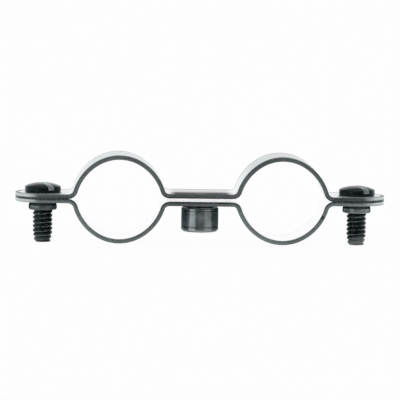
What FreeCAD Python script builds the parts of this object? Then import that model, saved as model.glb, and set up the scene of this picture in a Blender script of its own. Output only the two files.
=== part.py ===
import FreeCAD
import Part

import math
import os

from FreeCAD import Vector

# Double pipe clip: two formed steel straps hold two pipes side by side. Screws through the ears run in
# round nuts under the lower strap, and a tapped boss under the lower strap takes the hanger rod.
# Frame: +X along the clip, +Y along the pipes, +Z up, origin at the centre of the boss's mouth. Millimetres.

# Pipes
pipe_diameter = 20.0
pipe_gap = 21.6
seat_clearance = 0.1

# Straps
sheet = 1.1
strap_width = 14.0
seat_half_angle = 29.0
flank_ease = 1.9
ear_bend_radius = 1.5
web_bend_radius = 1.2
web_gap = 0.86
edge_round = 0.12
pipe_to_screw = 9.4

# Screws
screw_diameter = 5.0
screw_length = 12.7
screw_hole_clearance = 0.5
tip_diameter = 4.1
tip_length = 2.6
head_diameter = 9.2
head_height = 2.5
head_side_height = 1.5
head_shoulder_round = 0.5
slot_width = 1.3
slot_depth = 1.7
slot_angle = -62.0

# Nuts
nut_height = 2.25
nut_shoulder = 0.5
nut_round = 0.35
nut_chamfer = 0.35
nut_chamfer_height = 1.05
pilot_wall = 0.55
pilot_clearance = 0.05
thread_clearance = 0.05

# Boss
boss_diameter = 9.5
boss_height = 7.0
boss_chamfer = 0.5
boss_neck_height = 0.5
boss_neck_step = 1.1
boss_bore_diameter = 5.0
boss_mouth_chamfer = 0.4
groove_width = 0.25
groove_depth = 0.12
upper_groove_drop = 1.6
lower_groove_rise = 1.3

# Worked out from the above
seat_radius = pipe_diameter / 2 + seat_clearance
flank_radius = seat_radius + flank_ease
ring_x = (pipe_diameter + pipe_gap) / 2
screw_x = ring_x + pipe_diameter / 2 + pipe_to_screw
ear_radius = strap_width / 2
parting_z = boss_height + sheet + web_gap / 2
shank_radius = screw_diameter / 2
nut_bore_radius = shank_radius + thread_clearance
pilot_radius = nut_bore_radius + pilot_wall
nut_radius = pilot_radius + nut_shoulder
UP = Vector(0, 0, 1)


def arc(centre, start, end):
    """The shorter arc from start to end about centre."""
    middle = (start - centre) + (end - centre)
    middle.normalize()
    return Part.Arc(start, centre + middle * (start - centre).Length, end).toShape()


def line(start, end):
    return Part.LineSegment(start, end).toShape()


def revolved(edges):
    """The solid that a closed outline in the XZ plane sweeps about the Z axis."""
    face = Part.Face(Part.Wire(edges))
    return face.revolve(Vector(0, 0, 0), UP, 360)


def outline(points):
    """Straight edges through the points, closed."""
    return [line(a, b) for a, b in zip(points, points[1:] + points[:1])]


def upright_cylinder(radius, height, x, z):
    return Part.makeCylinder(radius, height, Vector(x, 0, z), UP)


def sheet_side(offset):
    """One side of the sheet from the clip's middle to the right ear's end, above the parting plane.

    Offset 0 is the side towards the pipes, and the sheet's thickness is the outer side.
    """
    ring = Vector(ring_x, 0, 0)
    lean = math.radians(seat_half_angle)
    towards_web = Vector(-math.sin(lean), 0, math.cos(lean))
    towards_ear = Vector(math.sin(lean), 0, math.cos(lean))
    web_flank = ring - towards_web * flank_ease
    ear_flank = ring - towards_ear * flank_ease

    def bend_centre(flank, flat_z, bend_radius, side):
        """Centre of the bend that is tangent to the flank outside and to the flat's outer side."""
        rise = flat_z + sheet + bend_radius - flank.z
        reach = flank_radius + sheet + bend_radius
        return Vector(flank.x + side * math.sqrt(reach**2 - rise**2), 0, flank.z + rise)

    def tangent(flank, bend):
        direction = bend - flank
        direction.normalize()
        return flank + direction * (flank_radius + offset)

    web_z = web_gap / 2
    web_bend = bend_centre(web_flank, web_z, web_bend_radius, -1)
    ear_bend = bend_centre(ear_flank, 0, ear_bend_radius, 1)
    web_middle = Vector(0, 0, web_z + offset)
    web_end = Vector(web_bend.x, 0, web_z + offset)
    web_rise = tangent(web_flank, web_bend)
    seat_start = ring + towards_web * (seat_radius + offset)
    seat_end = ring + towards_ear * (seat_radius + offset)
    ear_fall = tangent(ear_flank, ear_bend)
    ear_start = Vector(ear_bend.x, 0, offset)
    ear_end = Vector(screw_x + ear_radius, 0, offset)
    edges = [
        line(web_middle, web_end),
        arc(web_bend, web_end, web_rise),
        arc(web_flank, web_rise, seat_start),
        arc(ring, seat_start, seat_end),
        arc(ear_flank, seat_end, ear_fall),
        arc(ear_bend, ear_fall, ear_start),
        line(ear_start, ear_end),
    ]
    return edges, web_middle, ear_end


def strap(hole_radius):
    """A formed strap lying on the parting plane, its ears round and pierced, its cut edges eased."""
    inner, inner_middle, inner_end = sheet_side(0)
    outer, outer_middle, outer_end = sheet_side(sheet)
    end = line(inner_end, outer_end)
    middle = line(outer_middle, inner_middle)
    section = Part.Wire(inner + [end] + outer[::-1] + [middle])
    right = Part.Face(section).extrude(Vector(0, strap_width, 0))
    right.translate(Vector(0, -strap_width / 2, 0))
    formed = right.fuse(right.mirror(Vector(0, 0, 0), Vector(1, 0, 0))).removeSplitter()

    tall = seat_radius + 2 * sheet
    plan = Part.makeBox(2 * screw_x, strap_width, 2 * tall, Vector(-screw_x, -strap_width / 2, -tall))
    for x in (-screw_x, screw_x):
        plan = plan.fuse(upright_cylinder(ear_radius, 2 * tall, x, -tall))
    body = formed.common(plan.removeSplitter()).removeSplitter().Solids[0]
    body = body.makeFillet(edge_round, cut_edges(body))
    for x in (-screw_x, screw_x):
        body = body.cut(upright_cylinder(hole_radius, 2 * tall, x, -tall))
    return body


def cut_edges(body):
    """The long edges where the sheared sides of a strap meet its two faces."""
    found = {}
    for face in body.Faces:
        flat_side = isinstance(face.Surface, Part.Plane) and abs(face.Surface.Axis.y) > 0.99
        round_end = isinstance(face.Surface, Part.Cylinder) and abs(face.Surface.Axis.z) > 0.99
        if flat_side or round_end:
            for edge in face.Edges:
                start, end = edge.Vertexes[0].Point, edge.Vertexes[-1].Point
                upright = math.hypot(end.x - start.x, end.y - start.y) < 1e-6 and edge.Length < 2 * sheet
                if not upright:
                    found[edge.hashCode()] = edge
    return list(found.values())


def make_upper_strap():
    body = strap(shank_radius + screw_hole_clearance)
    body.translate(UP * parting_z)
    return body


def make_lower_strap():
    body = strap(pilot_radius + pilot_clearance)
    body = body.mirror(Vector(0, 0, 0), UP)
    body.translate(UP * parting_z)
    return body


def make_threaded_boss():
    """Turned boss, its neck on the underside of the lower strap's web and its mouth at the origin."""
    radius = boss_diameter / 2
    bore = boss_bore_diameter / 2
    neck = radius - boss_neck_step
    shoulder = boss_height - boss_neck_height
    points = [
        Vector(bore + boss_mouth_chamfer, 0, 0),
        Vector(radius - boss_chamfer, 0, 0),
        Vector(radius, 0, boss_chamfer),
    ]
    for middle in (lower_groove_rise, boss_height - upper_groove_drop):
        points += [
            Vector(radius, 0, middle - groove_width / 2),
            Vector(radius - groove_depth, 0, middle),
            Vector(radius, 0, middle + groove_width / 2),
        ]
    points += [
        Vector(radius, 0, shoulder - boss_chamfer),
        Vector(radius - boss_chamfer, 0, shoulder),
        Vector(neck, 0, shoulder),
        Vector(neck, 0, boss_height),
        Vector(bore, 0, boss_height),
        Vector(bore, 0, boss_mouth_chamfer),
    ]
    return revolved(outline(points))


def make_nut(x):
    """Round nut under an ear of the lower strap, with a pilot that fills the strap's hole."""
    seat = parting_z - sheet
    bottom = seat - nut_height
    rounding = Vector(nut_radius - nut_round, 0, bottom + nut_round)
    round_start = Vector(nut_radius - nut_round, 0, bottom)
    round_end = Vector(nut_radius, 0, bottom + nut_round)
    points = [
        round_end,
        Vector(nut_radius, 0, seat - nut_chamfer_height),
        Vector(nut_radius - nut_chamfer, 0, seat),
        Vector(pilot_radius, 0, seat),
        Vector(pilot_radius, 0, parting_z),
        Vector(nut_bore_radius, 0, parting_z),
        Vector(nut_bore_radius, 0, bottom),
        round_start,
    ]
    edges = outline(points)[:-1] + [arc(rounding, round_start, round_end)]
    body = revolved(edges)
    body.translate(Vector(x, 0, 0))
    return body


def make_screw(x):
    """Slotted pan head screw, its head on the upper ear and its shank plain, of the thread's outer size."""
    seat = parting_z + sheet
    tip = seat - screw_length
    head = head_diameter / 2
    side_top = Vector(head, 0, seat + head_side_height)
    crown = Vector(0, 0, seat + head_height)
    dome_rise = head_height - head_side_height
    dome_radius = (head**2 + dome_rise**2) / (2 * dome_rise)
    points = [
        Vector(0, 0, tip),
        Vector(tip_diameter / 2, 0, tip),
        Vector(shank_radius, 0, tip + tip_length),
        Vector(shank_radius, 0, seat),
        Vector(head, 0, seat),
        side_top,
    ]
    edges = [line(a, b) for a, b in zip(points, points[1:])]
    edges.append(arc(crown - UP * dome_radius, side_top, crown))
    edges.append(line(crown, points[0]))
    body = revolved(edges)
    circles = [edge for edge in body.Edges if len(edge.Vertexes) == 1]
    shoulder = [edge for edge in circles if abs(edge.Vertexes[0].Point.z - side_top.z) < 1e-6]
    body = body.makeFillet(head_shoulder_round, shoulder)
    slot = Part.makeBox(2 * head_diameter, slot_width, slot_depth + head_height)
    slot.translate(Vector(-head_diameter, -slot_width / 2, seat + head_height - slot_depth))
    slot.rotate(Vector(0, 0, 0), UP, slot_angle)
    body = body.cut(slot)
    body.translate(Vector(x, 0, 0))
    return body


def main():
    os.makedirs("parts", exist_ok=True)
    nodes = {
        "upper_strap": make_upper_strap(),
        "lower_strap": make_lower_strap(),
        "threaded_boss": make_threaded_boss(),
        "left_nut": make_nut(-screw_x),
        "right_nut": make_nut(screw_x),
        "left_screw": make_screw(-screw_x),
        "right_screw": make_screw(screw_x),
    }
    for name, shape in nodes.items():
        shape.exportStep(f"parts/{name}.step")


main()
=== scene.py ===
import math

import bmesh
import bpy
from bpy.props import FloatProperty, FloatVectorProperty, PointerProperty
from mathutils import Matrix, Vector


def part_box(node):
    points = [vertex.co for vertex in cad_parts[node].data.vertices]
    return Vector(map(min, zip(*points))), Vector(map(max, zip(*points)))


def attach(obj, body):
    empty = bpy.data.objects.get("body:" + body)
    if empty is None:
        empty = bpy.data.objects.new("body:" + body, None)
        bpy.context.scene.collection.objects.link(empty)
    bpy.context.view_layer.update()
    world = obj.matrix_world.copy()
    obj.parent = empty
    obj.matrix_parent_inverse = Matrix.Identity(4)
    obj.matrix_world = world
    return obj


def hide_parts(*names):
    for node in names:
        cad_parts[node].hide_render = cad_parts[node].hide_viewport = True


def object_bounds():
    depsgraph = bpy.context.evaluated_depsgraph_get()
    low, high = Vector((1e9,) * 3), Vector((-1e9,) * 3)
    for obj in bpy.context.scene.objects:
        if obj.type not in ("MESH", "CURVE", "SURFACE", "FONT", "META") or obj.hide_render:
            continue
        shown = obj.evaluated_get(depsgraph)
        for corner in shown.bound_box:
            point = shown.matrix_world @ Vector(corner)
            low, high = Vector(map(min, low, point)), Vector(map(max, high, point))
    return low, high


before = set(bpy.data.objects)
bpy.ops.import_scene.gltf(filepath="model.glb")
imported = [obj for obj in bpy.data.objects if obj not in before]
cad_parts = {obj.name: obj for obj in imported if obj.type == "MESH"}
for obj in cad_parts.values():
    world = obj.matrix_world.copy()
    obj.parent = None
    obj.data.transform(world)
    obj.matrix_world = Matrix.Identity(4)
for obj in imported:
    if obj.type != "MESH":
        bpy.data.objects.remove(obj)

bl_info = {
    "name": "Double Pipe Clip",
    "version": (1, 0, 0),
    "blender": (4, 5, 0),
    "location": "View3D > Sidebar > Pipe Clip",
    "description": "Builds a double pipe clip: formed straps, slotted screws, round nuts and a tapped boss",
    "category": "Object",
}

# Sizes read from the frame, in metres
CAD_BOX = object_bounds()
STRAP_LOW, STRAP_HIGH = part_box("upper_strap")
NUT_LOW, NUT_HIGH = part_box("right_nut")
SCREW_LOW, SCREW_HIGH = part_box("right_screw")
BOSS_LOW, BOSS_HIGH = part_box("threaded_boss")
SCREW_X = (NUT_LOW.x + NUT_HIGH.x) / 2
PARTING_Z = NUT_HIGH.z

MM = 0.001
UP = Vector((0, 0, 1))
ACROSS = Vector((0, 1, 0))

# Closeness of points that count as one, or as lying on a plane
MERGE = 1e-8
ON_PLANE = 1e-7

# Fineness of the meshes
HOLE_STEPS = 64
TURN_STEPS = 48
SEAT_STEP = math.radians(2.5)
BEND_STEP = math.radians(6)
SHARP = math.radians(25)
CORNER = math.radians(60)
ROUND_SEGMENTS = 2
SPARE_TURNS = 2

# How far a face of a strap leans before it counts as sheared edge
SIDE_FACING = 0.4
FLAT_FACING = 0.9

# Patterns in the finish, in features per metre, and their fine bumps
STRAP_PATCHES = 260
STRAP_GRAIN = (110, 3200, 110)
EDGE_PATCHES = 75
EDGE_TEARS = 1600
TURNED_PATCHES = 420
TURNED_RINGS = (40, 40, 5200)
PLATING_PATCHES = 500
PLATING_SPECKS = 1500
GRAIN_BUMP = 0.006 * MM
TEAR_BUMP = 0.012 * MM
RING_BUMP = 0.005 * MM
SPECK_BUMP = 0.008 * MM
BUMP_STRENGTH = 0.6

# Ranges of a noise's values: most of them, the darker patches and the patches of wear and painted highlight
MOST = (0.3, 0.7)
PATCHES = (0.3, 0.6)
WEAR_HIGHLIGHT_PATCHES = (0.35, 0.65)

# Where marks start and stop fading on the straps, painted shade and highlights among them, X from the clip's
# middle and Y from front to back
WEB_SHADE_X = (6.4 * MM, 8.2 * MM)
WEB_SHADE_Y = (-3.5 * MM, 0.5 * MM)
WEB_SHADE_RISE = (0.1 * MM, 0.4 * MM)
RIM_SHADE_FROM_EDGE = (-1.1 * MM, -0.5 * MM)
UNDER_SHADE_REACH = (9 * MM, 16 * MM)
CROWN_RISE = (4 * MM, 9 * MM)
CROWN_X = (-12 * MM, 12 * MM)
SCUFF_Y = (-4.5 * MM, -1 * MM)
DARK_WEB_X = (7 * MM, 11 * MM)
HEAD_SHADE_FROM_SCREW = (-9 * MM, -6 * MM)
HIGHLIGHT_FROM_SCREW = (1 * MM, 4 * MM)
GAP_SHADE_THROUGH = (0.18, 0.36)
GAP_SHADE_RISE = (1.0 * MM, 2.4 * MM)
NICK_X = 30.9 * MM
NICK_Z = 4.5 * MM
NICK_REACH = (0.35 * MM, 0.7 * MM)

# The same on the turned pieces and the screws
FOOT_WEAR_HIGHLIGHT = (-0.1 * MM, 0.25 * MM)
RIM_DROP = 0.3 * MM
RIM_REACH = (0.05 * MM, 0.25 * MM)
CORNER_SHADE = (-0.1 * MM, 0.15 * MM)
WAVER = 0.1 * MM
FLANK_FACING = (-0.35, -0.6)
CROWN_WEAR_HIGHLIGHT_START = 1.9 * MM


def length(name, description, default):
    return FloatProperty(name=name, description=description, default=default, unit="LENGTH", precision=5)


def angle(name, description, degrees):
    return FloatProperty(name=name, description=description, default=math.radians(degrees), subtype="ANGLE")


def colour(name, description, default):
    return FloatVectorProperty(
        name=name, description=description, default=default, size=3, min=0, max=1, subtype="COLOR"
    )


def share(name, description, default):
    return FloatProperty(name=name, description=description, default=default, min=0, max=1, subtype="FACTOR")


class StrapSizes(bpy.types.PropertyGroup):
    sheet: length("Sheet", "Thickness of the strap's sheet", 1.1 * MM)
    width: length("Width", "Width of the strap, along the pipes", STRAP_HIGH.y - STRAP_LOW.y)
    pipe_spacing: length("Pipe Spacing", "Between the centres of the pipes", 41.6 * MM)
    seat_radius: length("Seat Radius", "Inside radius of the crown that holds a pipe", 10.1 * MM)
    seat_half_angle: angle("Seat Half Angle", "How far the crown reaches to each side", 29)
    flank_ease: length("Flank Ease", "How much larger a flank's radius is than the seat's", 1.9 * MM)
    ear_bend: length("Ear Bend", "Inside radius of the bend into an ear", 1.5 * MM)
    web_bend: length("Web Bend", "Inside radius of the bend into the web", 1.2 * MM)
    web_gap: length("Web Gap", "Between the webs of the two straps", 0.86 * MM)
    edge_round: length("Edge Round", "Rounding of the sheared edges", 0.07 * MM)
    upper_hole: length("Upper Hole", "Radius of the screw holes in the upper strap", 3.0 * MM)
    lower_hole: length("Lower Hole", "Radius of the nut holes in the lower strap", 3.15 * MM)


class ScrewSizes(bpy.types.PropertyGroup):
    pitch: length("Pitch", "Rise of the thread in one turn", 1.1 * MM)
    crest_radius: length("Crest Radius", "Outside radius of the thread", 2.5 * MM)
    thread_depth: length("Thread Depth", "From crest to root", 0.32 * MM)
    crest_width: length("Crest Width", "Flat on top of the thread", 0.44 * MM)
    root_width: length("Root Width", "Flat between two turns", 0.14 * MM)
    tip_radius: length("Tip Radius", "Radius of the shank at its tip", 2.05 * MM)
    tip_length: length("Tip Length", "Length of the tapered tip", 2.6 * MM)
    neck_radius: length("Neck Radius", "Plain neck under the head", 2.2 * MM)
    neck_length: length("Neck Length", "Plain neck under the head", 0.3 * MM)
    head_radius: length("Head Radius", "Radius of the pan head", (SCREW_HIGH.x - SCREW_LOW.x) / 2)
    head_height: length("Head Height", "From the strap to the head's crown", 2.5 * MM)
    head_side: length("Head Side", "Height of the head's side", 1.5 * MM)
    shoulder_round: length("Shoulder Round", "Rounding between the head's side and dome", 0.5 * MM)
    slot_width: length("Slot Width", "Width of the driver slot", 1.3 * MM)
    slot_depth: length("Slot Depth", "Depth of the driver slot below the crown", 1.7 * MM)
    slot_angle: angle("Slot Angle", "Direction of the slot from the clip's length", -62)
    slot_edge: length("Slot Edge", "Rounding of the slot's lips", 0.06 * MM)


class NutSizes(bpy.types.PropertyGroup):
    radius: length("Radius", "Outside radius of the nut", (NUT_HIGH.x - NUT_LOW.x) / 2)
    pilot_radius: length("Pilot Radius", "Radius of the part in the strap's hole", 3.1 * MM)
    chamfer: length("Chamfer", "Width of the upper chamfer", 0.35 * MM)
    chamfer_height: length("Chamfer Height", "Height of the upper chamfer", 1.05 * MM)
    lower_round: length("Lower Round", "Rounding of the lower edge", 0.35 * MM)
    thread_clearance: length("Thread Clearance", "Room round the screw's thread", 0.06 * MM)
    mouth: length("Mouth", "Depth of the plain mouth at each end of the thread", 0.3 * MM)


class BossSizes(bpy.types.PropertyGroup):
    radius: length("Radius", "Outside radius of the boss", (BOSS_HIGH.x - BOSS_LOW.x) / 2)
    chamfer: length("Chamfer", "Chamfer of the boss's ends", 0.5 * MM)
    neck_step: length("Neck Step", "How far the neck stands back", 1.1 * MM)
    neck_height: length("Neck Height", "Height of the neck under the strap", 0.5 * MM)
    bore_radius: length("Bore Radius", "Inside radius of the tapped hole", 2.5 * MM)
    thread_depth: length("Thread Depth", "Depth of the tapped thread", 0.45 * MM)
    pitch: length("Pitch", "Rise of the tapped thread in one turn", 1.0 * MM)
    mouth: length("Mouth", "Chamfer at the mouth of the hole", 0.4 * MM)
    groove_width: length("Groove Width", "Width of a turned groove", 0.25 * MM)
    groove_depth: length("Groove Depth", "Depth of a turned groove", 0.12 * MM)
    lower_groove: length("Lower Groove", "Height of the lower groove", 1.3 * MM)
    upper_groove: length("Upper Groove", "Height of the upper groove", 5.4 * MM)


class ZincColours(bpy.types.PropertyGroup):
    strap_rubbed: colour("Strap Rubbed", "Zinc rubbed bright inside the straps", (0.955, 0.962, 0.962))
    strap_light: colour("Strap Light", "Bright zinc outside the straps", (0.84, 0.865, 0.87))
    strap_dark: colour("Strap Dark", "Dull patches in the straps' zinc", (0.70, 0.735, 0.745))
    # Painted shade: dark zinc colour on top of the web towards its front and along the rims, standing in for
    # shade and dark reflection
    web_painted_shade: colour("Web Dull", "Zinc dulled on the web and along the rims", (0.40, 0.43, 0.435))
    # Painted shade: dark zinc colour under the lower strap round the boss
    under_strap_shade: colour("Heat Stain", "Zinc stained round the boss, under the strap", (0.20, 0.22, 0.22))
    # Painted dark reflection: the web's painted shade at a glancing angle
    web_shade_glance: colour("Web Glance", "The same at a glancing angle", (0.01, 0.012, 0.012))
    crown_glance: colour("Crown Glance", "Zinc of the crowns at a glancing angle", (0.76, 0.785, 0.79))
    shear_light: colour("Shear Light", "Burnished part of a sheared edge", (0.45, 0.515, 0.525))
    # Painted highlight: the sheared edges lighter at the ears' round ends, where light catches them
    ear_end_highlight: colour("Shear Rubbed", "Edges rubbed bright at the ears' ends", (0.72, 0.78, 0.78))
    # Near-black for painted shade: in the gap where the straps meet, on the ears under the screw heads, over
    # a whole nut and under the strap on the nuts and boss; also the colour of one dark nick
    shade_and_nick: colour("Grime", "Grime where pieces meet", (0.032, 0.042, 0.045))
    turned_light: colour("Turned Light", "Bright turned zinc", (0.38, 0.43, 0.44))
    # Painted highlight, given as wear: bright zinc at the turned pieces' foot and in a band under their upper
    # corner
    turned_wear_highlight: colour("Turned Worn", "Turned edges worn bright", (0.82, 0.86, 0.86))
    turned_dark: colour("Turned Dark", "Dull turned zinc", (0.21, 0.245, 0.255))
    turned_edge: colour("Turned Edge", "Turned zinc seen at a glancing angle", (0.08, 0.09, 0.09))
    screw_dark: colour("Screw Dark", "Dark plating of the screws", (0.016, 0.023, 0.025))
    screw_edge: colour("Screw Edge", "Dark plating seen at a glancing angle", (0.95, 0.96, 0.96))
    # Worn plating and painted highlight: light lines on the thread's lower flanks, a lighter tip and a
    # lighter crown
    screw_wear_highlight: colour("Screw Worn", "Plating worn bright on flanks, tip and crown", (0.62, 0.66, 0.665))
    slot_bare: colour("Slot Bare", "Bare steel in the driver slot", (0.62, 0.66, 0.67))
    # How strong the painted highlight in the band under the upper corner is, on the boss and on the nuts
    boss_rim_highlight: share("Boss Rim Wear", "How worn the boss's upper rim is", 0.85)
    nut_rim_highlight: share("Nut Rim Wear", "How worn the nuts' rims are", 0.2)
    # Painted shade: how far each nut is darkened all over, the left one more than the right
    left_nut_shade: share("Left Tarnish", "How tarnished the left nut is", 0.66)
    right_nut_shade: share("Right Tarnish", "How tarnished the right nut is", 0.30)
    # Wear and painted highlight: how much lighter each screw's tip is, the right one more than the left
    left_tip_wear_highlight: share("Left Tip Wear", "How worn the left screw's tip is", 0.25)
    right_tip_wear_highlight: share("Right Tip Wear", "How worn the right screw's tip is", 0.85)
    strap_gloss: share("Strap Gloss", "Roughness of the straps' faces", 0.17)
    shear_gloss: share("Shear Gloss", "Roughness of the sheared edges", 0.30)
    turned_gloss: share("Turned Gloss", "Roughness of the turned pieces", 0.17)
    screw_gloss: share("Screw Gloss", "Roughness of the screws", 0.18)


class StageSettings(bpy.types.PropertyGroup):
    distance: length("Distance", "From the camera to the middle of the clip", 0.85)
    azimuth: angle("Azimuth", "Camera's turn to the right of the front", -2.55)
    elevation: angle("Elevation", "Camera's height above the horizon", 5.757)
    roll: angle("Roll", "Camera's roll", 0.897)
    lens: FloatProperty(name="Lens", description="Focal length", default=298.9, unit="CAMERA")
    sensor: FloatProperty(name="Sensor", description="Width of the film", default=36, unit="CAMERA")
    aim_right: length("Aim Right", "Aim point to the right of the clip's middle", -0.02 * MM)
    aim_up: length("Aim Up", "Aim point above the clip's middle", -0.58 * MM)
    floor_size: length("Floor Size", "Side of the floor", 8.0)
    floor_tone: share("Floor Tone", "How pale the floor is", 0.90)
    floor_clear: share("Floor Clear", "How clear the floor is at a glancing angle", 0.96)
    floor_pale_to: share("Floor Pale To", "Glance up to which the floor is pale", 0.78)
    floor_clear_from: share("Floor Clear From", "Glance from which the floor is clear", 0.84)
    front_level: share("Front Level", "Light from the front, where the room is dim", 0.20)
    left_level: share("Left Level", "Light from the panel at the left", 1.0)
    right_level: share("Right Level", "Light from the panel at the right", 0.62)
    gap_level: share("Gap Level", "Light from the gap between the walls and the lamp overhead", 0.42)
    below_level: share("Below Level", "Light from under the floor", 0.08)


class ClipSettings(bpy.types.PropertyGroup):
    strap: PointerProperty(type=StrapSizes, name="Strap", description="Sizes of the straps")
    screw: PointerProperty(type=ScrewSizes, name="Screw", description="Sizes of the screws")
    nut: PointerProperty(type=NutSizes, name="Nut", description="Sizes of the nuts")
    boss: PointerProperty(type=BossSizes, name="Boss", description="Sizes of the boss")
    zinc: PointerProperty(type=ZincColours, name="Zinc", description="Colours and gloss of the zinc")
    stage: PointerProperty(type=StageSettings, name="Stage", description="Camera, floor and light")


def of_kind(geometry, kind):
    return [g for g in geometry if isinstance(g, kind)]


def verts_of(edges):
    return list(dict.fromkeys(v for e in edges for v in e.verts))


def everything(bm):
    return bm.verts[:] + bm.edges[:] + bm.faces[:]


def loop_at(bm, z):
    """The open edges of a mesh that lie at one height."""
    return [e for e in bm.edges if e.is_boundary and all(abs(v.co.z - z) < ON_PLANE for v in e.verts)]


def ease_edges(bm, edges, offset, clamp=False):
    """Rounds edges over, the rounds kept apart if they are clamped."""
    bmesh.ops.bevel(
        bm,
        geom=edges,
        offset=offset,
        offset_type="OFFSET",
        segments=ROUND_SEGMENTS,
        profile=0.5,
        affect="EDGES",
        material=-1,
        clamp_overlap=clamp,
    )


def turn_between(start, end):
    """The turn about +Y that takes one direction in the XZ plane to another."""
    return math.remainder(math.atan2(end.x, end.z) - math.atan2(start.x, start.z), math.tau)


def bend_on(bm, edges, centre, towards, step):
    """Carries the sheet's free edge on round a bend until it lies in a direction from the bend's centre."""
    start = edges[0].verts[0].co - centre
    turn = turn_between(start, towards)
    swept = bmesh.ops.spin(
        bm,
        geom=edges + verts_of(edges),
        cent=centre,
        axis=ACROSS,
        angle=turn,
        steps=max(2, round(abs(turn) / step)),
    )
    return of_kind(swept["geom_last"], bmesh.types.BMEdge)


def pierced_ear(bm, sizes, bend_x, hole_radius):
    """A flat ear with a round end about its hole. Returns the straight edge where the strap goes on."""
    centre = Vector((SCREW_X, 0, 0))
    half = sizes.width / 2
    bmesh.ops.create_circle(
        bm, cap_ends=False, segments=HOLE_STEPS, radius=hole_radius, matrix=Matrix.Translation(centre)
    )
    grown = bmesh.ops.extrude_edge_only(bm, edges=bm.edges[:])
    outline = of_kind(grown["geom"], bmesh.types.BMVert)
    for v in outline:
        out = (v.co - centre).normalized()
        reach = half
        if out.x < 0:
            reach = min((SCREW_X - bend_x) / -out.x, half / max(abs(out.y), MERGE))
        v.co = centre + out * reach
    for side in (-half, half):
        corner = Vector((bend_x, side, 0))
        nearest = min(outline, key=lambda v: (v.co - corner).length)
        nearest.co = corner
    return [e for e in bm.edges if all(abs(v.co.x - bend_x) < ON_PLANE for v in e.verts)]


def formed_strap(sizes, hole_radius):
    """A strap lying on the parting plane: pierced ears, reverse bends, crowns over the pipes, raised web."""
    bm = bmesh.new()
    ring = Vector((sizes.pipe_spacing / 2, 0, 0))
    lean = sizes.seat_half_angle
    towards_web = Vector((-math.sin(lean), 0, math.cos(lean)))
    towards_ear = Vector((math.sin(lean), 0, math.cos(lean)))
    flank_radius = sizes.seat_radius + sizes.flank_ease
    web_flank = ring - towards_web * sizes.flank_ease
    ear_flank = ring - towards_ear * sizes.flank_ease

    def bend_centre(flank, flat_z, bend_radius, side):
        height = flat_z + sizes.sheet + bend_radius
        reach = flank_radius + sizes.sheet + bend_radius
        return Vector((flank.x + side * math.sqrt(reach**2 - (height - flank.z) ** 2), 0, height))

    web_bend = bend_centre(web_flank, sizes.web_gap / 2, sizes.web_bend, -1)
    ear_bend = bend_centre(ear_flank, 0, sizes.ear_bend, 1)
    free = pierced_ear(bm, sizes, ear_bend.x, hole_radius)
    free = bend_on(bm, free, ear_bend, ear_flank - ear_bend, BEND_STEP)
    free = bend_on(bm, free, ear_flank, towards_ear, SEAT_STEP)
    free = bend_on(bm, free, ring, towards_web, SEAT_STEP)
    free = bend_on(bm, free, web_flank, web_bend - web_flank, SEAT_STEP)
    free = bend_on(bm, free, web_bend, -UP, BEND_STEP)
    middle = bmesh.ops.extrude_edge_only(bm, edges=free)
    middle = of_kind(middle["geom"], bmesh.types.BMVert)
    bmesh.ops.translate(bm, verts=middle, vec=(-middle[0].co.x, 0, 0))
    bmesh.ops.mirror(bm, geom=everything(bm), matrix=Matrix.Identity(4), merge_dist=MERGE, axis="X")
    bmesh.ops.remove_doubles(bm, verts=bm.verts[:], dist=MERGE)
    bmesh.ops.recalc_face_normals(bm, faces=bm.faces[:])
    ear_face = max(bm.faces, key=lambda f: f.calc_center_median().x)
    if ear_face.normal.z > 0:
        bmesh.ops.reverse_faces(bm, faces=bm.faces[:])

    inner = {v.co.copy().freeze() for v in bm.verts}
    through = bm.verts.layers.float.new("through_sheet")
    bmesh.ops.solidify(bm, geom=bm.faces[:], thickness=sizes.sheet)
    for v in bm.verts:
        v[through] = 0.0 if v.co.copy().freeze() in inner else 1.0
    bmesh.ops.recalc_face_normals(bm, faces=bm.faces[:])
    corners = [e for e in bm.edges if e.calc_face_angle(0) > CORNER]
    ease_edges(bm, corners, sizes.edge_round)
    for f in bm.faces:
        on_ear = abs(f.calc_center_median().x) > ear_bend.x
        if abs(f.normal.y) > SIDE_FACING or (on_ear and abs(f.normal.z) < FLAT_FACING):
            f.material_index = 1
    return bm


def thread(bm, low, pitch, turns, valley, ridge, valley_width, ridge_width):
    """A right-hand thread: a one-pitch profile swept round and up the Z axis."""
    slope = (pitch - valley_width - ridge_width) / 2
    profile = [
        (valley, 0),
        (valley, valley_width),
        (ridge, valley_width + slope),
        (ridge, pitch - slope),
        (valley, pitch),
    ]
    verts = [bm.verts.new((radius, 0, low + rise)) for radius, rise in profile]
    edges = [bm.edges.new(pair) for pair in zip(verts, verts[1:])]
    bmesh.ops.spin(
        bm,
        geom=verts + edges,
        cent=(0, 0, 0),
        axis=UP,
        dvec=(0, 0, pitch / TURN_STEPS),
        angle=math.tau * turns,
        steps=TURN_STEPS * turns,
    )
    bmesh.ops.remove_doubles(bm, verts=bm.verts[:], dist=MERGE)


def trim(bm, z, above):
    """Cuts a thread off square at one height."""
    bmesh.ops.bisect_plane(
        bm,
        geom=everything(bm),
        dist=MERGE,
        plane_co=(0, 0, z),
        plane_no=UP,
        clear_outer=above,
        clear_inner=not above,
    )


def run_out(bm, z, radius, over):
    """Fades a thread into a plain round of one radius at one height."""
    for v in bm.verts:
        share_left = min(1, abs(v.co.z - z) / over)
        now = math.hypot(v.co.x, v.co.y)
        factor = (radius + (now - radius) * share_left) / now
        v.co.x *= factor
        v.co.y *= factor


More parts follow.
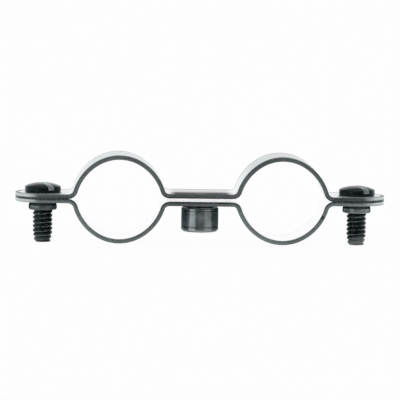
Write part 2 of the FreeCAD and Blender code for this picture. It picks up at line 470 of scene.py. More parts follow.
def carry_on(bm, loop, start, rings):
    """Carries a round loop at a start (radius, height) on through rings about the Z axis."""
    radius, height = start
    for next_radius, next_height in rings:
        grown = bmesh.ops.extrude_edge_only(bm, edges=loop)
        verts = of_kind(grown["geom"], bmesh.types.BMVert)
        factor = next_radius / radius
        bmesh.ops.scale(bm, verts=verts, vec=(factor, factor, 1))
        bmesh.ops.translate(bm, verts=verts, vec=(0, 0, next_height - height))
        fresh = set(verts)
        loop = [e for e in of_kind(grown["geom"], bmesh.types.BMEdge) if fresh.issuperset(e.verts)]
        radius, height = next_radius, next_height
    return loop


def rounded(centre, radius, start, end, steps):
    """Points of a round corner, from one angle to another in degrees above the outward direction."""
    points = []
    for i in range(steps + 1):
        a = math.radians(start + (end - start) * i / steps)
        points.append((centre[0] + radius * math.cos(a), centre[1] + radius * math.sin(a)))
    return points


def pan_head(sizes, seat):
    """Rings of the domed head, from its underside to near its crown."""
    edge = 0.1 * MM
    rise = sizes.head_height - sizes.head_side
    dome = (sizes.head_radius**2 + rise**2) / (2 * rise)
    dome_z = seat + sizes.head_height - dome
    corner = sizes.shoulder_round
    corner_r = sizes.head_radius - corner
    corner_z = dome_z + math.sqrt((dome - corner) ** 2 - corner_r**2)
    lean = math.degrees(math.atan2(corner_z - dome_z, corner_r))
    rings = [(sizes.neck_radius, seat)]
    rings += rounded((sizes.head_radius - edge, seat + edge), edge, -90, 0, steps=2)
    rings += rounded((corner_r, corner_z), corner, 0, lean, steps=5)
    rings += rounded((0, dome_z), dome, lean, 90, steps=9)[1:-1]
    return rings


def cut_slot(bm, sizes, crown):
    """Cuts the driver slot across the head: what lies between its walls goes, walls and floor close it."""
    along = Vector((math.cos(sizes.slot_angle), math.sin(sizes.slot_angle), 0))
    across = UP.cross(along)
    half = sizes.slot_width / 2
    floor = crown - sizes.slot_depth
    above_seat = crown - sizes.head_height + 0.2 * MM
    for plane_co, plane_no in ((across * half, across), (across * -half, across), (UP * floor, UP)):
        head = [f for f in bm.faces if f.calc_center_median().z > above_seat]
        parts = list(dict.fromkeys(g for f in head for g in (f, *f.edges, *f.verts)))
        bmesh.ops.bisect_plane(bm, geom=parts, dist=MERGE, plane_co=plane_co, plane_no=plane_no)
    gone = []
    for f in bm.faces:
        middle = f.calc_center_median()
        if abs(middle.dot(across)) < half and middle.z > floor + MERGE:
            gone.append(f)
    bmesh.ops.delete(bm, geom=gone, context="FACES")
    rim = [e for e in bm.edges if e.is_boundary and all(v.co.z > floor - ON_PLANE for v in e.verts)]
    low = [v for v in verts_of(rim) if abs(v.co.z - floor) < ON_PLANE]
    lips, floor_edges = [], []
    for side in (-1, 1):
        wall = [e for e in rim if all(abs(v.co.dot(across) - side * half) < ON_PLANE for v in e.verts)]
        ends = [v for v in low if abs(v.co.dot(across) - side * half) < ON_PLANE]
        lips += wall
        floor_edges.append(bm.edges.new(ends))
        bmesh.ops.edgeloop_fill(bm, edges=wall + floor_edges[-1:])
    floor_edges += [e for e in rim if e not in lips]
    bmesh.ops.edgeloop_fill(bm, edges=floor_edges)
    ease_edges(bm, lips, sizes.slot_edge, clamp=True)


def slotted_screw(sizes, seat):
    """A pan head screw with a real thread, tapered at its tip, standing on the Z axis."""
    bm = bmesh.new()
    tip = SCREW_LOW.z
    neck = seat - sizes.neck_length
    below = math.ceil((PARTING_Z - tip) / sizes.pitch) + SPARE_TURNS
    turns = below + math.ceil((neck - PARTING_Z) / sizes.pitch) + SPARE_TURNS
    root = sizes.crest_radius - sizes.thread_depth
    low = PARTING_Z - below * sizes.pitch
    thread(bm, low, sizes.pitch, turns, root, sizes.crest_radius, sizes.root_width, sizes.crest_width)
    trim(bm, tip, False)
    trim(bm, neck, True)
    run_out(bm, neck, sizes.neck_radius, sizes.pitch)
    taper_top = tip + sizes.tip_length
    loss = 1 - sizes.tip_radius / sizes.crest_radius
    for v in bm.verts:
        if v.co.z < taper_top:
            factor = 1 - loss * (taper_top - v.co.z) / sizes.tip_length
            v.co.x *= factor
            v.co.y *= factor
    bmesh.ops.edgeloop_fill(bm, edges=loop_at(bm, tip))
    loop = carry_on(bm, loop_at(bm, neck), (sizes.neck_radius, neck), pan_head(sizes, seat))
    bmesh.ops.edgeloop_fill(bm, edges=loop)
    cut_slot(bm, sizes, seat + sizes.head_height)
    bmesh.ops.recalc_face_normals(bm, faces=bm.faces[:])
    return bm


def round_nut(sizes, screw, sheet):
    """A round nut with a pilot, its tapped hole in step with the screw's thread, standing on the Z axis."""
    bm = bmesh.new()
    bottom, top = NUT_LOW.z, NUT_HIGH.z
    seat = top - sheet
    crest = screw.crest_radius + sizes.thread_clearance
    root = crest - screw.thread_depth
    turns = math.floor((top - bottom - 2 * sizes.mouth) / screw.pitch)
    high = top - sizes.mouth
    low = high - turns * screw.pitch
    below = math.ceil((top - bottom) / screw.pitch) + 1
    start = PARTING_Z - below * screw.pitch
    thread(bm, start, screw.pitch, below + SPARE_TURNS, root, crest, screw.root_width, screw.crest_width)
    trim(bm, low, False)
    trim(bm, high, True)
    plain = crest + 0.02 * MM
    run_out(bm, low, plain, screw.pitch / 2)
    run_out(bm, high, plain, screw.pitch / 2)
    upper_mouth = crest + 0.15 * MM
    lower_mouth = crest + 0.2 * MM
    pilot_edge = 0.05 * MM
    rim = seat - sizes.chamfer_height
    rim_in, rim_over, rim_under = 0.06 * MM, 0.08 * MM, 0.04 * MM
    bend = sizes.lower_round
    rings = [
        (upper_mouth, top),
        (sizes.pilot_radius - pilot_edge, top),
        (sizes.pilot_radius, top - pilot_edge),
        (sizes.pilot_radius, seat),
        (sizes.radius - sizes.chamfer, seat),
        (sizes.radius - rim_in, rim + rim_over),
        (sizes.radius, rim - rim_under),
    ]
    rings += rounded((sizes.radius - bend, bottom + bend), bend, 0, -90, steps=5)
    rings += [(lower_mouth, bottom)]
    loop = carry_on(bm, loop_at(bm, high), (plain, high), rings)
    bmesh.ops.bridge_loops(bm, edges=loop + loop_at(bm, low))
    bmesh.ops.recalc_face_normals(bm, faces=bm.faces[:])
    return bm


def tapped_boss(sizes):
    """A turned boss with grooves, a neck under the strap and a tapped hole from below, on the Z axis."""
    bm = bmesh.new()
    top = BOSS_HIGH.z
    major = sizes.bore_radius + sizes.thread_depth
    turns = math.floor((top - sizes.mouth) / sizes.pitch)
    low = sizes.mouth
    high = low + turns * sizes.pitch
    start = -SPARE_TURNS * sizes.pitch
    flat = sizes.pitch / 8
    fade = sizes.pitch / 3
    thread(bm, start, sizes.pitch, turns + 2 * SPARE_TURNS, sizes.bore_radius, major, flat, flat)
    trim(bm, low, False)
    trim(bm, high, True)
    run_out(bm, low, sizes.bore_radius, fade)
    run_out(bm, high, sizes.bore_radius, fade)
    ease = 0.06 * MM
    shoulder = top - sizes.neck_height
    rings = [
        (sizes.bore_radius + sizes.mouth, 0),
        (sizes.radius - sizes.chamfer - ease, 0),
        (sizes.radius - sizes.chamfer + ease, ease),
        (sizes.radius - ease, sizes.chamfer - ease),
        (sizes.radius, sizes.chamfer + ease),
    ]
    for middle in (sizes.lower_groove, sizes.upper_groove):
        rings += [
            (sizes.radius, middle - sizes.groove_width / 2),
            (sizes.radius - sizes.groove_depth, middle - sizes.groove_width / 8),
            (sizes.radius - sizes.groove_depth, middle + sizes.groove_width / 8),
            (sizes.radius, middle + sizes.groove_width / 2),
        ]
    rings += [
        (sizes.radius, shoulder - sizes.chamfer - ease),
        (sizes.radius - ease, shoulder - sizes.chamfer + ease),
        (sizes.radius - sizes.chamfer + ease, shoulder - ease),
        (sizes.radius - sizes.chamfer - ease, shoulder),
        (sizes.radius - sizes.neck_step, shoulder),
        (sizes.radius - sizes.neck_step, top),
        (sizes.bore_radius, top),
    ]
    loop = carry_on(bm, loop_at(bm, low), (sizes.bore_radius, low), rings)
    bmesh.ops.bridge_loops(bm, edges=loop + loop_at(bm, high))
    bmesh.ops.recalc_face_normals(bm, faces=bm.faces[:])
    return bm


def put_piece(bm, name, body, node, materials):
    """Makes an object of a finished mesh and lets it stand for a CAD node."""
    if not all(e.is_manifold for e in bm.edges):
        raise RuntimeError(f"{name} isn't a closed shape")
    mesh = bpy.data.meshes.new(name)
    bm.to_mesh(mesh)
    bm.free()
    for material in materials:
        mesh.materials.append(material)
    mesh.shade_smooth()
    mesh.set_sharp_from_angle(angle=SHARP)
    piece = bpy.data.objects.new(name, mesh)
    bpy.context.scene.collection.objects.link(piece)
    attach(piece, body)
    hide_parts(node)


def add_node(tree, kind, inputs=(), **settings):
    """A node with its settings, and its inputs set to values or linked to sockets."""
    made = tree.nodes.new(kind)
    for key, value in settings.items():
        setattr(made, key, value)
    for key, value in dict(inputs).items():
        if isinstance(value, bpy.types.NodeSocket):
            tree.links.new(value, made.inputs[key])
        else:
            made.inputs[key].default_value = value
    return made


def ramp(tree, factor, stops):
    """A colour ramp with stops of (place, colour)."""
    made = add_node(tree, "ShaderNodeValToRGB", {"Fac": factor})
    elements = made.color_ramp.elements
    while len(elements) < len(stops):
        elements.new(1.0)
    for element, (place, tone) in zip(elements, stops):
        element.position = place
        element.color = (*tone, 1)
    return made.outputs["Color"]


def spread(tree, value, low, high, to_low, to_high):
    """A value brought from one range to another."""
    inputs = {"Value": value, "From Min": low, "From Max": high, "To Min": to_low, "To Max": to_high}
    return add_node(tree, "ShaderNodeMapRange", inputs).outputs["Result"]


def noise(tree, coords, scale, detail, stretch=None):
    """Noise on object coordinates, in features per metre."""
    if stretch:
        coords = add_node(tree, "ShaderNodeMapping", {"Vector": coords, "Scale": stretch}).outputs["Vector"]
    made = add_node(tree, "ShaderNodeTexNoise", {"Vector": coords, "Scale": scale, "Detail": detail})
    return made.outputs["Fac"]


def mixed(tree, factor, first, second, blend="MIX"):
    """One colour mixed with another."""
    made = add_node(tree, "ShaderNodeMix", data_type="RGBA", blend_type=blend)
    for socket, value in ((made.inputs[0], factor), (made.inputs[6], first), (made.inputs[7], second)):
        if isinstance(value, bpy.types.NodeSocket):
            tree.links.new(value, socket)
        else:
            socket.default_value = value
    return made.outputs[2]


def maths(tree, operation, first, second=0.0):
    return add_node(tree, "ShaderNodeMath", {0: first, 1: second}, operation=operation).outputs[0]


def metal(name):
    """A material with one metallic Principled shader. Returns it, its tree, shader and object coordinates."""
    material = bpy.data.materials.new(name)
    material.use_nodes = True
    tree = material.node_tree
    tree.nodes.clear()
    shader = add_node(tree, "ShaderNodeBsdfPrincipled", {"Metallic": 1.0})
    add_node(tree, "ShaderNodeOutputMaterial", {"Surface": shader.outputs["BSDF"]})
    coords = add_node(tree, "ShaderNodeTexCoord").outputs["Object"]
    return material, tree, shader, coords


def finish_metal(tree, shader, tone, roughness, height, depth):
    """Wires colour, roughness and a fine bump into a metal."""
    bump = add_node(tree, "ShaderNodeBump", {"Height": height, "Strength": BUMP_STRENGTH, "Distance": depth})
    tree.links.new(tone, shader.inputs["Base Color"])
    tree.links.new(roughness, shader.inputs["Roughness"])
    tree.links.new(bump.outputs["Normal"], shader.inputs["Normal"])


def axes_of(tree, vector):
    """The X, Y and Z of a vector."""
    return add_node(tree, "ShaderNodeSeparateXYZ", {"Vector": vector}).outputs


def length_of(tree, x, y):
    """Length of the vector (x, y)."""
    across = maths(tree, "MULTIPLY", x, x)
    along = maths(tree, "MULTIPLY", y, y)
    return maths(tree, "SQRT", maths(tree, "ADD", across, along))


def grey(level):
    return (level, level, level)


def beyond(start, span):
    """A span of distances counted from a start."""
    return [start + distance for distance in span]


def product(tree, *values):
    """Values multiplied together."""
    result = values[0]
    for value in values[1:]:
        result = maths(tree, "MULTIPLY", result, value)
    return result


def strap_zinc(zinc, sizes):
    """Bright zinc on the straps' faces, with fine rolled grain along the strip, and painted shade on top of
    the web towards its front, along the rims and under the lower strap round the boss.
    """
    material, tree, shader, coords = metal("strap_zinc_face")
    place = axes_of(tree, coords)
    cloud = noise(tree, coords, STRAP_PATCHES, 4)
    grain = noise(tree, coords, 1, 3, stretch=STRAP_GRAIN)
    tone = ramp(tree, cloud, [(0.30, zinc.strap_dark), (0.62, zinc.strap_light)])
    mark = ramp(tree, grain, [(0.25, grey(0.88)), (0.55, grey(1))])
    tone = mixed(tree, 1.0, tone, mark, "MULTIPLY")
    outside = add_node(tree, "ShaderNodeAttribute", attribute_name="through_sheet").outputs["Fac"]
    tone = mixed(tree, outside, (*zinc.strap_rubbed, 1), tone)
    from_middle = maths(tree, "ABSOLUTE", place["X"])
    web_top = PARTING_Z + sizes.web_gap / 2 + sizes.sheet
    # Painted shade: the top of the web darkened towards its front
    web_and_rim_shade = product(
        tree,
        spread(tree, from_middle, *WEB_SHADE_X, 1, 0),
        spread(tree, place["Z"], web_top - sizes.sheet / 2, web_top - sizes.sheet / 4, 0, 1),
        spread(tree, place["Z"], *beyond(web_top, WEB_SHADE_RISE), 1, 0),
        spread(tree, place["Y"], *WEB_SHADE_Y, 1.0, 0.2),
        spread(tree, cloud, *PATCHES, 0.9, 1.0),
    )
    past_hole = maths(tree, "MAXIMUM", maths(tree, "SUBTRACT", from_middle, SCREW_X), 0)
    half = sizes.width / 2
    # Painted shade in a band along the rims
    rim = product(
        tree,
        outside,
        spread(tree, length_of(tree, past_hole, place["Y"]), *beyond(half, RIM_SHADE_FROM_EDGE), 0, 0.9),
        spread(tree, cloud, *PATCHES, 0.5, 1.0),
    )
    # Painted shade under the lower strap round the boss
    under_shade_mask = product(
        tree,
        outside,
        maths(tree, "LESS_THAN", place["Z"], PARTING_Z),
        spread(tree, length_of(tree, place["X"], place["Y"]), *UNDER_SHADE_REACH, 1, 0),
        spread(tree, cloud, *PATCHES, 0.7, 1.0),
    )
    web_and_rim_shade = maths(tree, "MAXIMUM", web_and_rim_shade, rim)
    tone = mixed(tree, web_and_rim_shade, tone, (*zinc.web_painted_shade, 1))
    tone = mixed(tree, under_shade_mask, tone, (*zinc.under_strap_shade, 1))
    crown = product(
        tree,
        outside,
        spread(tree, place["Z"], *beyond(PARTING_Z, CROWN_RISE), 0, 1),
        spread(tree, place["X"], *CROWN_X, 0.7, 1.0),
    )
    glance = mixed(tree, crown, (1, 1, 1, 1), (*zinc.crown_glance, 1))
    # Painted dark reflection on the shaded web and rims at a glancing angle
    glance = mixed(tree, web_and_rim_shade, glance, (*zinc.web_shade_glance, 1))
    tree.links.new(glance, shader.inputs["Specular Tint"])
    from_screw = length_of(tree, maths(tree, "SUBTRACT", from_middle, SCREW_X), place["Y"])
    scuff = product(
        tree,
        outside,
        maths(tree, "LESS_THAN", from_screw, half),
        spread(tree, place["Y"], *SCUFF_Y, 0.25, 0.05),
    )
    both = maths(tree, "ADD", cloud, grain)
    rough = spread(tree, both, 0.7, 1.3, zinc.strap_gloss - 0.05, zinc.strap_gloss + 0.06)
    rough = maths(tree, "ADD", rough, scuff)
    finish_metal(tree, shader, tone, rough, grain, GRAIN_BUMP)
    return material


def sheared_zinc(zinc):
    """Zinc on the sheared edges: burnished and torn in bands and painted darker towards the top, with painted
    shade along the line where the straps meet and under the screw heads, a painted highlight at the ears'
    ends, and a dark nick.
    """
    material, tree, shader, coords = metal("strap_zinc_sheared_edge")
    place = axes_of(tree, coords)
    through = add_node(tree, "ShaderNodeAttribute", attribute_name="through_sheet").outputs["Fac"]
    torn = noise(tree, coords, EDGE_TEARS, 4)
    cloud = noise(tree, coords, EDGE_PATCHES, 2)
    wavy = maths(tree, "ADD", through, spread(tree, torn, *MOST, -0.05, 0.05))
    bands = [(0.0, 0.7), (0.3, 0.9), (0.5, 1.0), (0.85, 0.86), (1.0, 0.6)]
    band = ramp(tree, wavy, [(depth, grey(level)) for depth, level in bands])
    # Painted shade: the sheared edges darker towards the top, lighter low down
    height = spread(tree, place["Z"], CAD_BOX[0].z, CAD_BOX[1].z, 0, 1)
    plain = ramp(tree, height, [(0.0, zinc.shear_light), (1.0, [c * 0.6 for c in zinc.shear_light])])
    tone = mixed(tree, 1.0, plain, band, "MULTIPLY")
    patches = ramp(tree, cloud, [(0.3, grey(0.6)), (0.7, grey(1))])
    tone = mixed(tree, 1.0, tone, patches, "MULTIPLY")
    from_middle = maths(tree, "ABSOLUTE", place["X"])
    tone = mixed(tree, 1.0, tone, spread(tree, from_middle, *DARK_WEB_X, 0.72, 1), "MULTIPLY")
    # Painted shade on the upper ears' edges under the screw heads
    head_shade_mask = product(
        tree,
        maths(tree, "GREATER_THAN", place["Z"], PARTING_Z),
        spread(tree, from_middle, *beyond(SCREW_X, HEAD_SHADE_FROM_SCREW), 0, 1),
        spread(tree, place["X"], -SCREW_X, SCREW_X, 0.35, 0.65),
    )
    tone = mixed(tree, head_shade_mask, tone, (*zinc.shade_and_nick, 1))
    rise = maths(tree, "ABSOLUTE", maths(tree, "SUBTRACT", place["Z"], PARTING_Z))
    # Painted shade along the line where the straps meet; the nick below is a dark mark of its own
    shade_and_nick = product(
        tree,
        spread(tree, wavy, *GAP_SHADE_THROUGH, 1, 0),
        spread(tree, rise, *GAP_SHADE_RISE, 1, 0.1),
    )
    nick_x = maths(tree, "SUBTRACT", place["X"], NICK_X)
    nick_z = maths(tree, "SUBTRACT", place["Z"], NICK_Z)
    nick = product(
        tree,
        spread(tree, length_of(tree, nick_x, nick_z), *NICK_REACH, 0.75, 0),
        maths(tree, "LESS_THAN", place["Y"], 0),
    )
    shade_and_nick = maths(tree, "MAXIMUM", shade_and_nick, nick)
    # Painted highlight at the ears' round ends
    ends = spread(tree, from_middle, *beyond(SCREW_X, HIGHLIGHT_FROM_SCREW), 0, 0.7)
    tone = mixed(tree, ends, tone, (*zinc.ear_end_highlight, 1))
    tone = mixed(tree, shade_and_nick, tone, (*zinc.shade_and_nick, 1))
    rough = spread(tree, torn, *MOST, zinc.shear_gloss - 0.06, zinc.shear_gloss + 0.08)
    finish_metal(tree, shader, tone, rough, torn, TEAR_BUMP)
    return material


def turned_zinc(zinc, name, foot, corner, rim_highlight, overall_shade=0.0):
    """Zinc on turned steel with rings from the tool, and painted highlights, given as wear, at its foot and
    in a band under its corner.

    The foot and the corner are heights. Above the corner it is painted in shade, and a share of painted shade
    can darken the whole piece.
    """
    material, tree, shader, coords = metal(name)
    place = axes_of(tree, coords)
    cloud = noise(tree, coords, TURNED_PATCHES, 4)
    rings = noise(tree, coords, 1, 2, stretch=TURNED_RINGS)
    tone = ramp(tree, cloud, [(0.32, zinc.turned_dark), (0.66, zinc.turned_light)])
    mark = ramp(tree, rings, [(0.3, grey(0.78)), (0.6, grey(1))])
    tone = mixed(tree, 1.0, tone, mark, "MULTIPLY")
    wavy = maths(tree, "ADD", place["Z"], spread(tree, cloud, *MOST, -WAVER, WAVER))
    # Painted highlights, given as wear, at the foot and in a band under the corner
    from_rim = maths(tree, "ABSOLUTE", maths(tree, "SUBTRACT", wavy, corner - RIM_DROP))
    worn = maths(
        tree,
        "MAXIMUM",
        spread(tree, wavy, *beyond(foot, FOOT_WEAR_HIGHLIGHT), 0.85, 0),
        spread(tree, from_rim, *RIM_REACH, rim_highlight, 0),
    )
    tone = mixed(tree, worn, tone, (*zinc.turned_wear_highlight, 1))
    # Painted shade over the whole piece
    tone = mixed(tree, overall_shade, tone, (*zinc.shade_and_nick, 1))
    # Painted shade above the corner, under the strap
    shade_and_nick = spread(tree, wavy, *beyond(corner, CORNER_SHADE), 0, 0.9)
    tone = mixed(tree, shade_and_nick, tone, (*zinc.shade_and_nick, 1))
    glance = mixed(tree, worn, (*zinc.turned_edge, 1), (1, 1, 1, 1))
    glance = mixed(tree, overall_shade, glance, (*zinc.turned_edge, 1))
    tree.links.new(glance, shader.inputs["Specular Tint"])
    rough = spread(tree, cloud, *MOST, zinc.turned_gloss - 0.05, zinc.turned_gloss + 0.08)
    finish_metal(tree, shader, tone, rough, rings, RING_BUMP)
    return material


def screw_zinc(zinc, sizes, name, x, seat, tip_wear_highlight):
    """Dark plating on a screw, worn and painted with highlights on the thread's lower flanks, tip and crown,
    with a bare slot.
    """
    material, tree, shader, coords = metal(name)
    centred = add_node(tree, "ShaderNodeMapping", {"Vector": coords, "Location": (-x, 0, 0)})
    place = axes_of(tree, centred.outputs["Vector"])
    speck = noise(tree, coords, PLATING_SPECKS, 4)
    cloud = noise(tree, coords, PLATING_PATCHES, 3)
    normal = add_node(tree, "ShaderNodeTexCoord").outputs["Normal"]
    upward = axes_of(tree, normal)["Z"]
    under_head = seat - 0.05 * MM
    # Worn plating and painted highlight: light lines on the lower flanks, a lighter tip and a lighter crown
    flank = product(
        tree,
        spread(tree, upward, *FLANK_FACING, 0, 1),
        maths(tree, "LESS_THAN", place["Z"], under_head),
        spread(tree, speck, 0.35, 0.6, 0.6, 1.0),
    )
    tip = product(
        tree,
        spread(tree, place["Z"], SCREW_LOW.z + sizes.tip_length, SCREW_LOW.z, 0, tip_wear_highlight),
        spread(tree, cloud, *WEAR_HIGHLIGHT_PATCHES, 0.35, 1.0),
    )
    crown = product(
        tree,
        spread(tree, place["Z"], seat + CROWN_WEAR_HIGHLIGHT_START, seat + sizes.head_height, 0, 0.3),
        spread(tree, cloud, *WEAR_HIGHLIGHT_PATCHES, 0.5, 1.0),
    )
    worn = maths(tree, "MAXIMUM", maths(tree, "MAXIMUM", flank, tip), crown)
    dim = [c * 0.75 for c in zinc.screw_dark]
    lit = [c * 1.3 for c in zinc.screw_dark]
    tone = mixed(tree, worn, ramp(tree, cloud, [(0.3, dim), (0.7, lit)]), (*zinc.screw_wear_highlight, 1))
    out_x = maths(tree, "MULTIPLY", place["X"], -math.sin(sizes.slot_angle))
    out_y = maths(tree, "MULTIPLY", place["Y"], math.cos(sizes.slot_angle))
    offset = maths(tree, "ABSOLUTE", maths(tree, "ADD", out_x, out_y))
    slot_floor = seat + sizes.head_height - sizes.slot_depth
    under_floor = slot_floor - 0.02 * MM
    slot = product(
        tree,
        maths(tree, "LESS_THAN", offset, sizes.slot_width / 2 + sizes.slot_edge),
        maths(tree, "GREATER_THAN", place["Z"], under_floor),
    )
    tone = mixed(tree, slot, tone, (*zinc.slot_bare, 1))
    shader.inputs["Specular Tint"].default_value = (*zinc.screw_edge, 1)
    rough = spread(tree, speck, *MOST, zinc.screw_gloss - 0.06, zinc.screw_gloss + 0.08)
    slot_dull = maths(tree, "MULTIPLY", slot, 0.25)
    flank_dull = maths(tree, "MULTIPLY", flank, 0.4)
    rough = maths(tree, "ADD", rough, maths(tree, "ADD", slot_dull, flank_dull))
    finish_metal(tree, shader, tone, rough, speck, SPECK_BUMP)
    return material


def studio_world(stage):
    """The room round the clip: white walls, a wide lamp overhead, dim in front and below."""
    world = bpy.data.worlds.new("studio")
    bpy.context.scene.world = world
    world.use_nodes = True
    tree = world.node_tree
    tree.nodes.clear()
    direction = add_node(tree, "ShaderNodeTexCoord").outputs["Generated"]
    place = axes_of(tree, direction)
    turn = maths(tree, "ARCTAN2", place["X"], maths(tree, "MULTIPLY", place["Y"], -1.0))
    turn = spread(tree, turn, -math.pi, math.pi, 0, 1)
    # Degrees to the right of the front, and the light from there
    levels = [
        (-180, 1.0),
        (-70, 1.0),
        (-34, stage.left_level),
        (-27, stage.front_level),
        (27, stage.front_level),
        (34, stage.right_level),
        (62, stage.right_level),
        (85, 1.0),
        (180, 1.0),
    ]
    around = ramp(tree, turn, [((a + 180) / 360, grey(level)) for a, level in levels])
    # Heights on a ball round the clip, and the light from there
    heights = [(0.45, 1.0), (0.62, stage.gap_level), (0.80, stage.gap_level), (0.93, 1.0)]
    above = ramp(tree, place["Z"], [(rise, grey(level)) for rise, level in heights])
    over_walls = spread(tree, place["Z"], 0.15, 0.30, 0, 1)
    under_walls = spread(tree, place["Z"], -0.20, -0.42, 0, 1)
    light = mixed(tree, over_walls, around, above)
    light = mixed(tree, under_walls, light, (*grey(stage.below_level), 1))
    background = add_node(tree, "ShaderNodeBackground", {"Color": light, "Strength": 1.0})
    add_node(tree, "ShaderNodeOutputWorld", {"Surface": background.outputs["Background"]})


def clear_floor(stage):
    """A pale sheet under the clip, clear from below and, but for a faint shadow, at a glancing angle."""
    bm = bmesh.new()
    bmesh.ops.create_grid(bm, x_segments=1, y_segments=1, size=stage.floor_size / 2)
    bmesh.ops.translate(bm, verts=bm.verts[:], vec=(0, 0, CAD_BOX[0].z))
    mesh = bpy.data.meshes.new("floor")
    bm.to_mesh(mesh)
    bm.free()
    material = bpy.data.materials.new("floor_sheet")
    material.use_nodes = True
    tree = material.node_tree
    tree.nodes.clear()
    tone = (*grey(stage.floor_tone), 1)
    pale = add_node(tree, "ShaderNodeBsdfDiffuse", {"Color": tone}).outputs["BSDF"]
    clear = add_node(tree, "ShaderNodeBsdfTransparent").outputs["BSDF"]
    facing = add_node(tree, "ShaderNodeLayerWeight", {"Blend": 0.5}).outputs["Facing"]
    glancing = spread(tree, facing, stage.floor_pale_to, stage.floor_clear_from, 0, stage.floor_clear)
    under = add_node(tree, "ShaderNodeNewGeometry").outputs["Backfacing"]
    clearness = maths(tree, "MAXIMUM", glancing, under)
    sheet = add_node(tree, "ShaderNodeMixShader", {0: clearness, 1: pale, 2: clear})
    add_node(tree, "ShaderNodeOutputMaterial", {"Surface": sheet.outputs["Shader"]})
    mesh.materials.append(material)
    floor = bpy.data.objects.new("floor", mesh)
    bpy.context.scene.collection.objects.link(floor)


def photo_camera(stage):
    """The camera at the photograph's place: far off, a little above and to the left."""
    a, e = stage.azimuth, stage.elevation
    ahead = Vector((-math.sin(a) * math.cos(e), math.cos(a) * math.cos(e), -math.sin(e)))
    right = Vector((math.cos(a), math.sin(a), 0))
    up = right.cross(ahead)
    turned = Matrix.Rotation(stage.roll, 3, -ahead)
    right, up = turned @ right, turned @ up
    target = Vector((0, 0, PARTING_Z)) + right * stage.aim_right + up * stage.aim_up
    data = bpy.data.cameras.new("photo_camera")
    data.lens = stage.lens
    data.sensor_width = stage.sensor
    camera = bpy.data.objects.new("photo_camera", data)
    pointing = Matrix((right, up, -ahead)).transposed().to_4x4()
    camera.matrix_world = Matrix.Translation(target - ahead * stage.distance) @ pointing
    bpy.context.scene.collection.objects.link(camera)
    bpy.context.scene.camera = camera


class PIPE_CLIP_OT_straps(bpy.types.Operator):
    """Build the two formed straps"""

    bl_idname = "pipe_clip.straps"
    bl_label = "Straps"

    def execute(self, context):
        clip = context.scene.pipe_clip
        materials = [strap_zinc(clip.zinc, clip.strap), sheared_zinc(clip.zinc)]
        upper = formed_strap(clip.strap, clip.strap.upper_hole)
        bmesh.ops.translate(upper, verts=upper.verts[:], vec=UP * PARTING_Z)
        put_piece(upper, "upper_formed_strap", "upper_half", "upper_strap", materials)
        lower = formed_strap(clip.strap, clip.strap.lower_hole)
        bmesh.ops.scale(lower, verts=lower.verts[:], vec=(1, 1, -1))
        bmesh.ops.recalc_face_normals(lower, faces=lower.faces[:])
        bmesh.ops.translate(lower, verts=lower.verts[:], vec=UP * PARTING_Z)
        put_piece(lower, "lower_formed_strap", "lower_half", "lower_strap", materials)
        return {"FINISHED"}


class PIPE_CLIP_OT_screws(bpy.types.Operator):
    """Build the two slotted screws"""

    bl_idname = "pipe_clip.screws"
    bl_label = "Screws"

    def execute(self, context):
        clip = context.scene.pipe_clip
        seat = PARTING_Z + clip.strap.sheet
        tip_wear_highlight = {"left": clip.zinc.left_tip_wear_highlight, "right": clip.zinc.right_tip_wear_highlight}
        for side, x in (("left", -SCREW_X), ("right", SCREW_X)):
            bm = slotted_screw(clip.screw, seat)
            bmesh.ops.translate(bm, verts=bm.verts[:], vec=(x, 0, 0))
            plating = screw_zinc(clip.zinc, clip.screw, f"{side}_screw_zinc", x, seat, tip_wear_highlight[side])
            put_piece(bm, f"{side}_slotted_screw", f"{side}_screw", f"{side}_screw", [plating])
        return {"FINISHED"}


class PIPE_CLIP_OT_nuts(bpy.types.Operator):
    """Build the two round nuts"""

    bl_idname = "pipe_clip.nuts"
    bl_label = "Nuts"

    def execute(self, context):
        clip = context.scene.pipe_clip
        foot_z = NUT_LOW.z + clip.nut.lower_round / 2
        chamfer_z = PARTING_Z - clip.strap.sheet - clip.nut.chamfer_height
        overall_shade = {"left": clip.zinc.left_nut_shade, "right": clip.zinc.right_nut_shade}
        for side, x in (("left", -SCREW_X), ("right", SCREW_X)):
            bm = round_nut(clip.nut, clip.screw, clip.strap.sheet)
            bmesh.ops.translate(bm, verts=bm.verts[:], vec=(x, 0, 0))
            turned = turned_zinc(
                clip.zinc, f"{side}_nut_zinc", foot_z, chamfer_z, clip.zinc.nut_rim_highlight, overall_shade[side]
            )
            put_piece(bm, f"{side}_round_nut", "lower_half", f"{side}_nut", [turned])
        return {"FINISHED"}


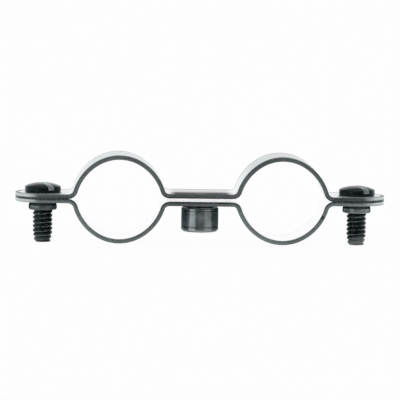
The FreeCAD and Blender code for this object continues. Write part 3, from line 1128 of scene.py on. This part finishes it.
class PIPE_CLIP_OT_boss(bpy.types.Operator):
    """Build the tapped boss"""

    bl_idname = "pipe_clip.boss"
    bl_label = "Boss"

    def execute(self, context):
        clip = context.scene.pipe_clip
        shoulder_z = BOSS_HIGH.z - clip.boss.neck_height
        turned = turned_zinc(
            clip.zinc, "boss_zinc", clip.boss.chamfer, shoulder_z, clip.zinc.boss_rim_highlight
        )
        bm = tapped_boss(clip.boss)
        put_piece(bm, "tapped_boss", "lower_half", "threaded_boss", [turned])
        return {"FINISHED"}


class PIPE_CLIP_OT_stage(bpy.types.Operator):
    """Set up the studio, the floor and the camera"""

    bl_idname = "pipe_clip.stage"
    bl_label = "Stage"

    def execute(self, context):
        context.scene.view_settings.view_transform = "Standard"
        stage = context.scene.pipe_clip.stage
        studio_world(stage)
        clear_floor(stage)
        photo_camera(stage)
        return {"FINISHED"}


OPERATORS = (
    PIPE_CLIP_OT_straps,
    PIPE_CLIP_OT_screws,
    PIPE_CLIP_OT_nuts,
    PIPE_CLIP_OT_boss,
    PIPE_CLIP_OT_stage,
)


class PIPE_CLIP_PT_sidebar(bpy.types.Panel):
    bl_idname = "PIPE_CLIP_PT_sidebar"
    bl_label = "Double Pipe Clip"
    bl_space_type = "VIEW_3D"
    bl_region_type = "UI"
    bl_category = "Pipe Clip"

    def draw(self, context):
        for operator in OPERATORS:
            self.layout.operator(operator.bl_idname)
        clip = context.scene.pipe_clip
        for group in (clip.strap, clip.screw, clip.nut, clip.boss, clip.zinc, clip.stage):
            box = self.layout.box()
            for name in group.__annotations__:
                box.prop(group, name)


GROUPS = (StrapSizes, ScrewSizes, NutSizes, BossSizes, ZincColours, StageSettings, ClipSettings)
CLASSES = GROUPS + OPERATORS + (PIPE_CLIP_PT_sidebar,)


def register():
    for cls in CLASSES:
        bpy.utils.register_class(cls)
    bpy.types.Scene.pipe_clip = PointerProperty(
        type=ClipSettings, name="Pipe Clip", description="Sizes and finish of the double pipe clip"
    )


def unregister():
    del bpy.types.Scene.pipe_clip
    for cls in reversed(CLASSES):
        bpy.utils.unregister_class(cls)


def main():
    register()
    bpy.ops.pipe_clip.straps()
    bpy.ops.pipe_clip.screws()
    bpy.ops.pipe_clip.nuts()
    bpy.ops.pipe_clip.boss()
    bpy.ops.pipe_clip.stage()


if __name__ == "__main__":
    main()
